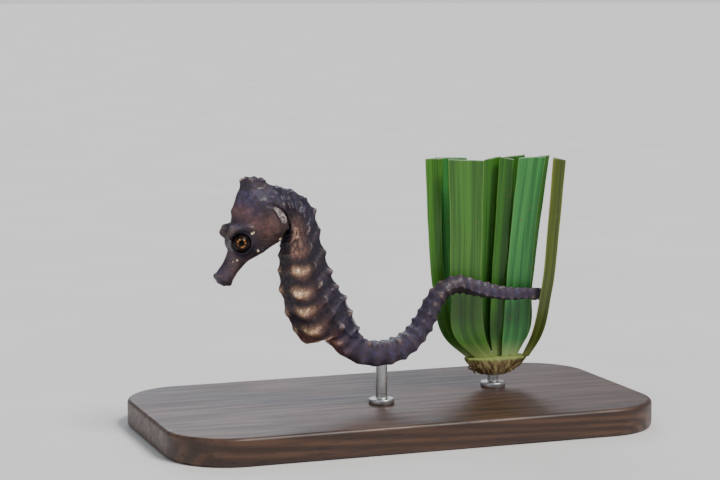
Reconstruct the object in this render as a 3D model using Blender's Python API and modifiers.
"""Short-snouted seahorse holding a cut bunch of strap leaves, as a life-size still model on a plain stand.

Run with: blender --background --factory-startup --python part.py
The tables are in millimetres in the animal's own frame: it faces -X, its left side faces -Y, and the
middle of its trunk is (0, 0, 0). An empty at TRUNK_PLACE carries that frame over the stand, whose underside
has its middle at the model's origin. Blender's unit stays the metre, +Z up.
"""

import math

import bmesh
import bpy
import numpy as np

MM = 0.001
TRUNK_PLACE = (-21.5, -6.0, 36.0)
GAP = 0.3  # clearance between neighbouring solids

# Cross-sections of head and trunk from the mouth back: name, back (x, z), belly (x, z), half width, how much
# narrower the top is than the middle, and how many body rings have passed.
STATIONS = (
    ("mouth", (-19.4, -1.6), (-17.7, -2.5), 1.15, 0.0, -9.0),
    ("lip", (-19.9, -0.5), (-16.6, -2.2), 1.75, 0.0, -8.6),
    ("lip_rear", (-19.4, 0.4), (-15.9, -1.3), 1.8, 0.0, -8.2),
    ("snout_tip", (-18.7, 1.4), (-15.1, -0.1), 1.55, 0.0, -7.6),
    ("snout", (-17.8, 2.8), (-14.0, 1.2), 1.6, 0.0, -7.0),
    ("snout_root", (-17.1, 4.4), (-12.8, 2.4), 2.05, 0.05, -6.2),
    ("eye", (-16.7, 7.3), (-10.5, 3.6), 2.85, 0.10, -5.2),
    ("brow", (-16.2, 10.9), (-7.3, 5.5), 3.45, 0.18, -4.2),
    ("forehead", (-15.5, 14.8), (-5.7, 6.5), 4.0, 0.34, -3.2),
    ("crown", (-14.0, 18.0), (-5.0, 7.7), 4.05, 0.42, -2.2),
    ("nape", (-7.7, 18.5), (-4.8, 8.1), 3.55, 0.30, 0.4),
    ("neck", (-2.8, 17.5), (-4.75, 7.9), 3.35, 0.10, 2.1),
    ("shoulder", (0.7, 15.2), (-5.0, 6.9), 3.7, 0.0, 3.4),
    ("chest", (2.4, 11.9), (-5.6, 4.9), 4.05, 0.0, 4.4),
    ("trunk_1", (3.4, 7.3), (-5.8, 2.4), 4.35, 0.0, 5.4),
    ("trunk_2", (4.8, 2.8), (-5.7, -1.0), 4.7, 0.0, 6.35),
    ("trunk_3", (5.9, -0.5), (-5.2, -4.9), 4.9, 0.0, 7.2),
    ("belly_1", (7.4, -3.4), (-4.0, -9.4), 4.9, 0.0, 8.15),
    ("belly_2", (9.0, -6.0), (-2.2, -13.1), 4.65, 0.0, 9.1),
    ("belly_3", (9.6, -7.6), (-1.1, -14.9), 4.4, 0.0, 9.6),
    ("belly_end", (10.2, -9.1), (0.7, -15.9), 4.15, 0.0, 10.05),
    ("belly_under", (10.75, -10.5), (2.4, -15.6), 3.95, 0.0, 10.35),
    ("vent", (11.3, -11.8), (3.8, -14.9), 3.7, 0.0, 10.65),
    ("tail_root", (12.4, -13.8), (6.5, -18.0), 3.45, 0.0, 11.7),
)
TRUNK_RINGS = 11
TAIL_RINGS = 37

# The tail's centreline and its half thickness. It passes in front of the leaves and ends behind them.
TAIL = (
    ((12.6, 0.0, -18.2), 3.17),
    ((16.4, 0.1, -18.95), 3.1),
    ((20.4, 0.3, -18.5), 2.95),
    ((23.9, 0.7, -16.9), 2.65),
    ((26.4, 1.2, -14.7), 2.42),
    ((28.4, 1.7, -12.0), 2.27),
    ((30.0, 2.2, -9.4), 2.18),
    ((31.6, 2.7, -7.5), 2.13),
    ((35.6, 3.4, -5.4), 2.1),
    ((41.4, 3.7, -6.5), 2.02),
    ((45.3, 3.6, -7.4), 1.9),
    ((49.2, 3.6, -8.05), 1.73),
    ((52.8, 3.95, -8.25), 1.58),
    ((56.3, 4.8, -8.5), 1.43),
    ((59.4, 6.9, -9.2), 1.28),
    ((61.0, 10.0, -9.9), 1.16),
    ((60.5, 13.2, -10.6), 1.02),
    ((58.0, 15.4, -11.0), 0.86),
    ((54.8, 16.0, -11.0), 0.7),
    ((51.6, 15.5, -10.9), 0.52),
)
TAIL_WIDTH = 0.96  # of its depth
TWIST_START, TWIST_END, TWIST = 16.0, 44.0, math.radians(80)  # mm behind the tail's root, and how far round
TAIL_CUTS = (11.35, 15.5, 19.5, 23.5, 27.5, 32.5, 36.5, 39.5, 42.5, 45.0, 47.98)  # ring numbers
TRUNK_CUTS = (("neck", 1.5, 4.5), ("trunk_upper", 4.5, 7.5), ("trunk_lower", 7.5, 11.35))

# Angles from the middle of the back, in degrees, where the bony ridges run along each side.
TRUNK_RIDGES = (38, 78, 130, 180)
TAIL_RIDGES = (46, 134)
# How far in rings, and round which angle, a trunk ring lies tailwards on the flank.
CHEVRON, CHEVRON_WIDTH = 0.52, math.radians(36)
CHEVRON_RINGS, CHEVRON_ANGLES = (5, 7, 10), (92, 103, 119)

# Swellings of the head: centre (x, |y|, z), radii along x, y and z, and push (x, away from the middle, z).
HEAD_BUMPS = (
    ((-7.2, 3.6, 9.6), (3.4, 3.0, 3.4), (0.1, 0.85, -0.1)),  # gill cover
    ((-15.1, 2.8, 7.6), (2.0, 2.4, 2.7), (-0.6, 1.05, 0.05)),  # ring of the eye
    ((-16.0, 2.4, 9.4), (1.5, 1.1, 1.2), (-2.7, 0.8, 0.35)),  # blunt spine over the eye
    ((-16.3, 2.6, 7.7), (1.2, 1.2, 1.4), (-0.9, 0.3, 0.0)),  # foot of that spine
    ((-14.3, 3.4, 9.8), (1.7, 1.3, 0.8), (0.0, 0.8, 0.1)),  # ridge over the eye
    ((-9.7, 2.7, 4.4), (1.0, 1.2, 0.9), (0.15, 0.75, -0.45)),  # cheek spine
    ((-4.4, 2.4, 9.2), (0.8, 1.2, 0.9), (0.2, 0.45, -0.3)),  # lower corner of the gill cover
    ((-8.2, 1.9, 15.6), (1.1, 1.2, 1.1), (0.1, 0.75, 0.35)),  # ridge beside the crown
)
EYE_CENTRE = (-14.7, -2.45, 6.6)  # left eye; the right one is its mirror image
EYE_RADIUS = 2.1

# Crown bone, as loops from its foot to its hollow top: half length, half width, height over the head,
# lean forward for each mm of height, and how far its five points stand out.
CROWN_BONE = (
    (0.1, 0.1, 0.0, 0.0, 0.0),
    (1.0, 0.8, 0.0, 0.0, 0.0),
    (2.6, 1.95, 0.0, 0.0, 0.0),
    (2.3, 1.75, 0.6, 0.1, 0.05),
    (2.25, 1.7, 1.2, 0.2, 0.12),
    (2.35, 1.8, 1.7, 0.3, 0.22),
    (1.7, 1.3, 1.5, 0.25, 0.10),
    (0.8, 0.6, 1.15, 0.2, 0.0),
    (0.1, 0.1, 1.1, 0.2, 0.0),
)
CROWN_AT = 0.45  # of the way from the crown station to the nape station

FIN_THICKNESS = 0.5
DORSAL_FIN = (8.7, 11.6, 1.8)  # first ring, last ring, height
ANAL_FIN = (10.85, 11.3, 0.8)
PECTORAL_LENGTH = 1.9

# Strap leaves: degrees that each is turned, then its (x, y, width) at each of LEAF_HEIGHTS.
LEAF_HEIGHTS = (-22.7, -19.5, -8.0, 7.0, 22.0)
LEAVES = {
    "a": (12, (42.4, 9.7, 3.0), (38.8, 9.9, 3.6), (35.0, 10.1, 3.4), (33.6, 10.0, 3.6), (33.4, 10.2, 4.6)),
    "b": (-6, (45.0, 8.0, 4.6), (42.2, 7.6, 6.6), (40.2, 7.2, 7.2), (40.0, 7.0, 7.6), (39.8, 7.0, 8.4)),
    "c": (4, (46.4, 10.3, 2.8), (46.5, 10.5, 4.2), (46.7, 10.6, 4.8), (47.0, 10.6, 4.6), (47.7, 10.7, 4.2)),
    "d": (-3, (48.6, 9.2, 2.0), (48.6, 9.3, 2.9), (48.8, 9.2, 3.4), (49.6, 9.1, 3.4), (50.6, 9.2, 3.6)),
    "e": (-5, (51.2, 7.9, 3.8), (52.1, 7.8, 5.4), (52.9, 7.5, 5.9), (54.0, 7.2, 5.9), (55.9, 7.2, 6.4)),
    "f": (6, (52.6, 9.8, 2.8), (54.6, 10.2, 3.8), (56.0, 10.4, 3.6), (57.8, 10.3, 3.6), (60.0, 10.4, 3.6)),
    "g": (-20, (55.0, 7.2, 1.8), (56.0, 5.4, 2.3), (57.4, 2.1, 2.5), (59.4, 2.8, 2.7), (61.2, 4.0, 2.9)),
    "h": (8, (50.8, 11.5, 4.6), (51.4, 12.6, 6.2), (51.8, 13.6, 6.8), (52.8, 13.4, 7.2), (53.4, 13.3, 7.6)),
    "i": (-4, (44.4, 11.4, 4.6), (42.6, 12.2, 6.4), (40.8, 12.9, 6.8), (39.4, 12.8, 7.2), (38.6, 12.9, 7.6)),
}
LEAF_THICKNESS = 0.6
LEAF_FOLD = 0.5  # how far the middle of a leaf lies behind its edges

# Root crown under the leaves, as loops from the bottom: middle along X, half length, half width, height.
ROOT_CROWN = (
    (47.8, 3.4, 2.6, -27.2),
    (48.0, 4.6, 3.1, -26.4),
    (48.3, 6.6, 3.5, -25.0),
    (48.4, 7.9, 3.7, -23.0),
)
ROOT_CROWN_Y = 9.4

# Stand: a rounded flat base and two short rods, each with a flange.
BASE_SIZE = (110.0, 58.0, 6.0)
BASE_CORNER = 14.0
BASE_EDGE = 0.9
ROD_RADIUS = 1.25
FLANGE_RADIUS, FLANGE_HEIGHT = 2.8, 1.2
RODS = {  # name: x, y, height of its top, all in the animal's frame
    "stand_rod_body": (17.4, 0.1, -20.2),
    "stand_rod_perch": (47.8, 9.4, -25.2),
}


def smooth(knots, values, at):
    """A curve through the values: cubic pieces whose slope at each knot is the mean slope round it."""
    knots, values, at = (np.asarray(a, float) for a in (knots, values, at))
    slopes = np.gradient(values, knots, axis=0)
    i = np.clip(np.searchsorted(knots, at) - 1, 0, len(knots) - 2)
    step = knots[i + 1] - knots[i]
    t = (at - knots[i]) / step
    if values.ndim > 1:
        step, t = step[:, None], t[:, None]
    rise = values[i + 1] - values[i]
    start, end = slopes[i] * step, slopes[i + 1] * step
    return values[i] + t * (start + t * (3 * rise - 2 * start - end + t * (start + end - 2 * rise)))


def fade(x, low, high):
    """0 below low, 1 above high, and a smooth step between."""
    t = np.clip((np.asarray(x, float) - low) / (high - low), 0, 1)
    return t * t * (3 - 2 * t)


def unit(v):
    return v / np.linalg.norm(v, axis=-1, keepdims=True)


class Body:
    """The centreline of the whole animal, with the plane, size and ring number of its cross-sections."""

    def __init__(self):
        back = np.array([(x, 0, z) for _, (x, z), *_ in STATIONS])
        belly = np.array([(x, 0, z) for _, _, (x, z), *_ in STATIONS])
        half_width, narrow, ring = np.array([station[3:] for station in STATIONS]).T
        tail = np.array([point for point, _ in TAIL])
        radius = np.array([r for _, r in TAIL])
        self.centre = np.vstack(((back + belly) / 2, tail))
        steps = np.linalg.norm(np.diff(self.centre, axis=0), axis=1)
        self.s = np.concatenate(((0.0,), np.cumsum(steps)))
        self.end = self.s[-1]
        root = self.s[len(STATIONS) - 1]
        behind = self.s[len(STATIONS):] - root

        along = unit(np.gradient(self.centre, self.s, axis=0))[len(STATIONS):]
        up = unit(np.array((0, 0, 1.0)) - along[:, 2:] * along)
        turn = TWIST * fade(behind, TWIST_START, TWIST_END)[:, None]
        tail_back = up * np.cos(turn) + np.cross(along, up) * np.sin(turn)
        self.back = np.vstack((unit(back - belly), tail_back))
        self.side = np.vstack((np.tile((0.0, -1.0, 0.0), (len(STATIONS), 1)), np.cross(along, tail_back)))
        self.depth = np.concatenate((np.linalg.norm(back - belly, axis=1) / 2, radius))
        self.width = np.concatenate((half_width, radius * TAIL_WIDTH))
        self.narrow = np.concatenate((narrow, np.zeros(len(TAIL))))
        share = behind / (self.end - root)
        first = ring[-1]
        last = TRUNK_RINGS + TAIL_RINGS
        self.rings = np.concatenate((ring, first + (last - first) * (0.62 * share + 0.38 * share**2)))

    def at(self, station):
        """Distance along the body of a named station."""
        return self.s[[name for name, *_ in STATIONS].index(station)]

    def ring(self, number):
        """Distance along the body of a ring, by its number."""
        return float(np.interp(number, self.rings, self.s))

    def surface(self, s, angle):
        """Points of the skin at distances along the body and angles round it."""
        s, angle = np.broadcast_arrays(np.asarray(s, float), np.asarray(angle, float))
        centre, back, side, depth, width, narrow, ring = (
            smooth(self.s, values, s)
            for values in (self.centre, self.back, self.side, self.depth, self.width, self.narrow, self.rings)
        )
        back = unit(back)
        side = unit(side - (side * back).sum(1, keepdims=True) * back)
        sideways = width * np.sin(angle) * (1 - narrow * np.maximum(np.cos(angle), 0) ** 1.5)
        out = back * (depth * np.cos(angle))[:, None] + side * sideways[:, None]
        size = np.linalg.norm(out, axis=1)
        point = centre + out * (1 + relief(ring, angle, size) / size)[:, None]
        return point + head_bumps(point)

    def over_skin(self, s, angle, height):
        """Points at a height over the skin."""
        s, angle = np.broadcast_arrays(np.asarray(s, float), np.asarray(angle, float))
        step = 0.02
        along = self.surface(s + step, angle) - self.surface(s - step, angle)
        around = self.surface(s, angle + step) - self.surface(s, angle - step)
        here = self.surface(s, angle)
        normal = unit(np.cross(along, around))
        outward = np.sign(((here - smooth(self.s, self.centre, s)) * normal).sum(1, keepdims=True))
        return here + normal * outward * height


def both_sides(degrees):
    """Angles all round a section from those of one side, 0 and 180 among them."""
    other_side = [-a for a in reversed(degrees) if a not in (0, 180)]
    return np.radians([*degrees, *other_side])


def plates(angle, ridges, dip):
    """How far the flat plates lie under the ridges: 0 on a ridge, -dip half way between two of them."""
    marks = np.radians(sorted({turn + sign * r for r in ridges for sign in (-1, 1) for turn in (-360, 0, 360)}))
    i = np.clip(np.searchsorted(marks, angle) - 1, 0, len(marks) - 2)
    t = 2 * (angle - marks[i]) / (marks[i + 1] - marks[i]) - 1
    return -dip * (1 - t * t)


def knobs(angle, ridges, width):
    """1 on a ridge and falling off to each side. It is lower along the middle of the belly."""
    marks = both_sides(ridges)
    off = np.abs((angle[..., None] - marks + math.pi) % (2 * math.pi) - math.pi).min(-1)
    on_belly = fade(np.abs(angle), math.radians(150), math.radians(170))
    return np.exp(-((off / math.radians(width)) ** 2)) * (1 - 0.55 * on_belly)


def relief(ring, angle, size):
    """Height of the skin over the smooth ellipse: plates between the ridges, a low hoop at each ring, and a
    knob where a ring crosses a ridge. Every third ring has large knobs."""
    tail = fade(ring, 10.6, 12.2)
    trunk = fade(ring, 0.2, 1.6) * (1 - tail)
    flank = np.radians(np.interp(ring, CHEVRON_RINGS, CHEVRON_ANGLES))
    on_flank = np.exp(-(((np.abs(angle) - flank) / CHEVRON_WIDTH) ** 2))
    ring = ring - CHEVRON * (1 - tail) * on_flank
    nearest = np.round(ring)
    hoop = np.exp(-(((ring - nearest) / 0.20) ** 2))
    at_knob = np.exp(-(((ring - nearest) / 0.24) ** 2)) * np.where(nearest % 3 == 1, 1.0, 0.62)
    real = (nearest >= 1) & (nearest < TRUNK_RINGS + TAIL_RINGS)
    trunk_raised = 0.16 * hoop + 0.62 * at_knob * knobs(angle, TRUNK_RIDGES, 12)
    tail_raised = size * (0.05 * hoop + 0.13 * at_knob * knobs(angle, TAIL_RIDGES, 17))
    flat = trunk * plates(angle, TRUNK_RIDGES, 0.08) + tail * plates(angle, TAIL_RIDGES, 0.13)
    return size * flat + real * (trunk * trunk_raised + tail * tail_raised)


def head_bumps(point):
    """Offset that raises the head's swellings, the same on both sides."""
    moved = np.zeros_like(point)
    for centre, radii, push in HEAD_BUMPS:
        for side in ((1, -1, 1), (1, 1, 1)):
            near = np.exp(-(((point - np.multiply(centre, side)) / radii) ** 2).sum(1))
            moved += near[:, None] * np.multiply(push, side)
    return moved


def new_collection(name):
    collection = bpy.data.collections.new(name)
    bpy.context.scene.collection.children.link(collection)
    return collection


def new_material(name, colour, roughness, metallic=0.0):
    made = bpy.data.materials.new(name)
    made.use_nodes = True
    shader = made.node_tree.nodes["Principled BSDF"]
    shader.inputs["Base Color"].default_value = (*colour, 1.0)
    shader.inputs["Roughness"].default_value = roughness
    shader.inputs["Metallic"].default_value = metallic
    return made


def new_object(name, work, finish, collection, frame=None, at=(0, 0, 0)):
    """An object from a bmesh, which is freed. It is placed in mm in the frame of an empty."""
    mesh = bpy.data.meshes.new(name)
    work.to_mesh(mesh)
    work.free()
    mesh.shade_smooth()
    mesh.set_sharp_from_angle(angle=math.radians(50))
    if finish:
        mesh.materials.append(finish)
    obj = bpy.data.objects.new(name, mesh)
    obj.parent = frame
    obj.location = [c * MM for c in at]
    collection.objects.link(obj)
    return obj


def loft(name, loops, *where):
    """A closed solid through loops of points, with a flat cap on the first and the last."""
    work = bmesh.new()
    rows = [[work.verts.new(point * MM) for point in loop] for loop in np.asarray(loops, float)]
    for low, high in zip(rows, rows[1:]):
        for j in range(len(low)):
            work.faces.new((low[j - 1], low[j], high[j], high[j - 1]))
    work.faces.new(rows[0])
    work.faces.new(rows[-1])
    bmesh.ops.recalc_face_normals(work, faces=work.faces)
    return new_object(name, work, *where)


def sheet(name, grid, thickness, *where):
    """A thin solid round a surface given as rows of points."""
    grid = np.asarray(grid, float) * MM
    rows, columns = grid.shape[:2]
    work = bmesh.new()
    bmesh.ops.create_grid(work, x_segments=columns - 1, y_segments=rows - 1)
    for vert, point in zip(work.verts, grid.reshape(-1, 3)):
        vert.co = point
    obj = new_object(name, work, *where)
    shell = obj.modifiers.new("thickness", "SOLIDIFY")
    shell.thickness = thickness * MM
    shell.offset = 0.0
    return obj


def turned(name, profile, *where):
    """A solid of revolution about Z from (radius, z) pairs, listed from its top to its bottom."""
    work = bmesh.new()
    verts = [work.verts.new((radius * MM, 0, z * MM)) for radius, z in profile]
    for pair in zip(verts, verts[1:]):
        work.edges.new(pair)
    obj = new_object(name, work, *where)
    spin = obj.modifiers.new("turn", "SCREW")
    spin.steps = spin.render_steps = 24
    spin.use_merge_vertices = True
    spin.merge_threshold = 0.00001
    return obj


def ball(name, radius, *where):
    work = bmesh.new()
    bmesh.ops.create_uvsphere(work, u_segments=20, v_segments=12, radius=radius * MM)
    return new_object(name, work, *where)


def cut(target, cutter):
    """Cut one object's shape out of another. The cutter stays, unseen."""
    cutter.display_type = "WIRE"
    cutter.hide_render = True
    step = target.modifiers.new("cut_" + cutter.name, "BOOLEAN")
    step.operation, step.solver, step.object = "DIFFERENCE", "EXACT", cutter


HEAD_ANGLES = both_sides((0, 16, 31, 46, 62, 78, 94, 110, 126, 144, 162, 180))
SNOUT_ANGLES = HEAD_ANGLES[::2]
TRUNK_ANGLES = both_sides((0, 20, 38, 50, 69, 88, 98, 112, 126, 140, 160, 180))
TAIL_ANGLES = both_sides((0, 28, 46, 66, 90, 114, 134, 155, 180))


def body_length(name, body, start, end, inside, angles, *where):
    """One length of the body from start to end, with sections at the places inside it."""
    rows = [start + GAP / 2, *(s for s in inside if start + GAP < s < end - GAP), end - GAP / 2]
    return loft(name, [body.surface(s, angles) for s in rows], *where)


def build_head(body, finish, animal, cutters, frame):
    mouth, root, rear = body.at("mouth"), body.at("snout_root"), body.ring(TRUNK_CUTS[0][1])
    lips = (0.5, 1.1, 1.7, 2.7)
    along_snout = [*lips, *np.linspace(3.6, root, 4)]
    body_length("snout", body, mouth, root, along_snout, SNOUT_ANGLES, finish["skin"], animal, frame)
    along_head = np.linspace(root, rear, 20)
    head = body_length("head", body, root, rear, along_head, HEAD_ANGLES, finish["skin"], animal, frame)
    for side, sign in (("left", 1), ("right", -1)):
        at = np.multiply(EYE_CENTRE, (1, sign, 1))
        ball("eye_" + side, EYE_RADIUS, finish["eye"], animal, frame, at)
        cut(head, ball("eye_socket_" + side, EYE_RADIUS + GAP, None, cutters, frame, at))


def build_crown_bone(body, *where):
    """The small crown on the head: five blunt points round a hollow, on a foot that follows the head."""
    start, end = body.at("crown"), body.at("nape")
    middle = start + CROWN_AT * (end - start)
    head_width = float(smooth(body.s, body.width, [middle])[0])
    section_crowding = 0.62  # the sections fan out over the crown, so it is longer than the centreline
    turn = np.linspace(0, 2 * math.pi, 20, endpoint=False)
    loops = []
    for length, width, height, lean, points in CROWN_BONE:
        reach = 1 + points * np.cos(5 * turn)
        s = middle - section_crowding * length * reach * np.cos(turn)
        loop = body.over_skin(s, width * reach * np.sin(turn) / (0.9 * head_width), GAP)
        loop[:, 2] += height * (1 - 0.2 * np.cos(turn) ** 2 + 0.1 * np.cos(turn))
        loop[:, 0] -= lean * height
        loops.append(loop)
    return loft("coronet", loops, *where)


def build_trunk_and_tail(body, *where):
    """The lengths of neck, trunk and tail by name. Sections stand on the rings and evenly between them."""
    lengths = {}
    cuts = [(name, first, last, TRUNK_ANGLES, 3) for name, first, last in TRUNK_CUTS]
    for i, (first, last) in enumerate(zip(TAIL_CUTS, TAIL_CUTS[1:]), start=1):
        cuts.append((f"tail_{i}", first, last, TAIL_ANGLES, 2))
    for name, first, last, angles, per_ring in cuts:
        inside = [body.ring(i / per_ring) for i in range(math.ceil(first * per_ring), int(last * per_ring) + 1)]
        start, end = body.ring(first), body.ring(last)
        lengths[name] = body_length(name, body, start, end, inside, angles, *where)
    return lengths


def midline_fin(name, body, angle, first, last, height, *where):
    """A low fin on the middle of the back or the belly that leans tailwards."""
    share = np.linspace(0, 1, 11)
    foot = body.over_skin(body.ring(first) + share * (body.ring(last) - body.ring(first)), angle, GAP)
    foot[:, 1] = 0.0
    along = unit(np.gradient(foot, axis=0))
    up = np.stack((-along[:, 2], np.zeros(len(share)), along[:, 0]), axis=1) * math.copysign(1, math.cos(angle))
    ends = np.sqrt(np.clip(6 * share + 0.35, 0, 1) * np.clip(5 * (1 - share) + 0.4, 0, 1))
    reach = (height * (1 - 0.25 * share) * ends)[:, None] * (up + 0.55 * along)
    return sheet(name, [foot, foot + 0.5 * reach, foot + reach], FIN_THICKNESS, *where)


def build_fins(body, *where):
    midline_fin("dorsal_fin", body, 0.0, *DORSAL_FIN, *where)
    midline_fin("anal_fin", body, math.pi, *ANAL_FIN, *where)
    share = np.linspace(-1, 1, 9)
    length = PECTORAL_LENGTH * np.sqrt(1 - 0.5 * share**2)
    behind_gill_cover = body.at("nape") - 1.7
    for side, sign in (("left", 1), ("right", -1)):
        foot = body.over_skin(behind_gill_cover, sign * np.radians(100 + 16 * share), GAP + 0.1)
        down = unit(foot[-1] - foot[0])
        out = length[:, None] * np.array((0.35, -0.95 * sign, -0.05)) + 0.5 * share[:, None] * down
        sheet("pectoral_fin_" + side, [foot + t * out for t in (0, 0.35, 0.7, 1)], FIN_THICKNESS, *where)


def leaf_surface(turned_by, knots, rows=9, columns=5):
    """Middle surface of a leaf: rows of points from its foot up. Its middle lies behind its edges."""
    z = np.linspace(LEAF_HEIGHTS[0], LEAF_HEIGHTS[-1], rows)
    x, y, width = smooth(LEAF_HEIGHTS, knots, z).T
    turn = math.radians(turned_by)
    across = np.array((math.cos(turn), math.sin(turn), 0))
    behind = np.array((-math.sin(turn), math.cos(turn), 0))
    u = np.linspace(-1, 1, columns)
    fold = LEAF_FOLD * fade(z, LEAF_HEIGHTS[0] - 1, LEAF_HEIGHTS[1] + 4)
    side = (width / 2)[:, None] * u
    depth = fold[:, None] * (0.5 - np.abs(u) ** 1.5)
    return np.stack((x, y, z), axis=1)[:, None] + side[..., None] * across + depth[..., None] * behind


def build_perch(leaf, root, collection, frame):
    for name, (turned_by, *knots) in LEAVES.items():
        sheet("perch_leaf_" + name, leaf_surface(turned_by, knots), LEAF_THICKNESS, leaf, collection, frame)
    turn = np.linspace(0, 2 * math.pi, 24, endpoint=False)
    loops = []
    for x, length, width, z in ROOT_CROWN:
        ring = (x + length * np.cos(turn), ROOT_CROWN_Y + width * np.sin(turn), np.full(len(turn), z))
        loops.append(np.stack(ring, axis=1))
    return loft("perch_crown", loops, root, collection, frame)


def build_stand(held, finish, stand, cutters, frame):
    work = bmesh.new()
    bmesh.ops.create_cube(work, size=MM)
    bmesh.ops.scale(work, vec=BASE_SIZE, verts=work.verts)
    upright = [edge for edge in work.edges if abs(edge.verts[0].co.z - edge.verts[1].co.z) > MM]
    bmesh.ops.bevel(work, geom=upright, offset=BASE_CORNER * MM, segments=8, profile=0.5, affect="EDGES")
    base = new_object("stand_base", work, finish["base"], stand, None, (0, 0, BASE_SIZE[2] / 2))
    edge = base.modifiers.new("edge", "BEVEL")
    edge.width = BASE_EDGE * MM
    edge.segments = 2
    edge.limit_method, edge.angle_limit = "ANGLE", math.radians(60)

    base_top = BASE_SIZE[2] - TRUNK_PLACE[2]
    for name, (x, y, top) in RODS.items():
        height = top - base_top
        rod = (
            (0, height),
            (ROD_RADIUS - 0.3, height),
            (ROD_RADIUS, height - 0.3),
            (ROD_RADIUS, FLANGE_HEIGHT),
            (FLANGE_RADIUS - 0.4, FLANGE_HEIGHT),
            (FLANGE_RADIUS, FLANGE_HEIGHT - 0.4),
            (FLANGE_RADIUS, 0),
            (0, 0),
        )
        turned(name, rod, finish["rod"], stand, frame, (x, y, base_top))
        hole = ROD_RADIUS + GAP / 2
        socket = ((0, height + GAP / 2), (hole, height + GAP / 2), (hole, -1), (0, -1))
        cut(held[name], turned(name + "_socket", socket, None, cutters, frame, (x, y, base_top)))


def main():
    for obj in list(bpy.data.objects):
        bpy.data.objects.remove(obj)
    animal, perch, stand, cutters = (new_collection(n) for n in ("seahorse", "perch", "stand", "cutters"))
    finish = {
        "skin": new_material("skin", (0.075, 0.052, 0.050), 0.45),
        "eye": new_material("eye", (0.012, 0.009, 0.008), 0.08),
        "fin": new_material("fin", (0.20, 0.16, 0.14), 0.35),
        "leaf": new_material("leaf", (0.08, 0.20, 0.035), 0.40),
        "root": new_material("root", (0.18, 0.16, 0.07), 0.60),
        "base": new_material("base", (0.15, 0.08, 0.04), 0.45),
        "rod": new_material("rod", (0.56, 0.56, 0.56), 0.30, 1.0),
    }
    frame = bpy.data.objects.new("trunk_place", None)
    frame.location = [c * MM for c in TRUNK_PLACE]
    animal.objects.link(frame)
    bpy.context.view_layer.update()

    body = Body()
    build_head(body, finish, animal, cutters, frame)
    build_crown_bone(body, finish["skin"], animal, frame)
    lengths = build_trunk_and_tail(body, finish["skin"], animal, frame)
    build_fins(body, finish["fin"], animal, frame)
    root_crown = build_perch(finish["leaf"], finish["root"], perch, frame)
    build_stand({"stand_rod_body": lengths["tail_1"], "stand_rod_perch": root_crown}, finish, stand, cutters, frame)


main()
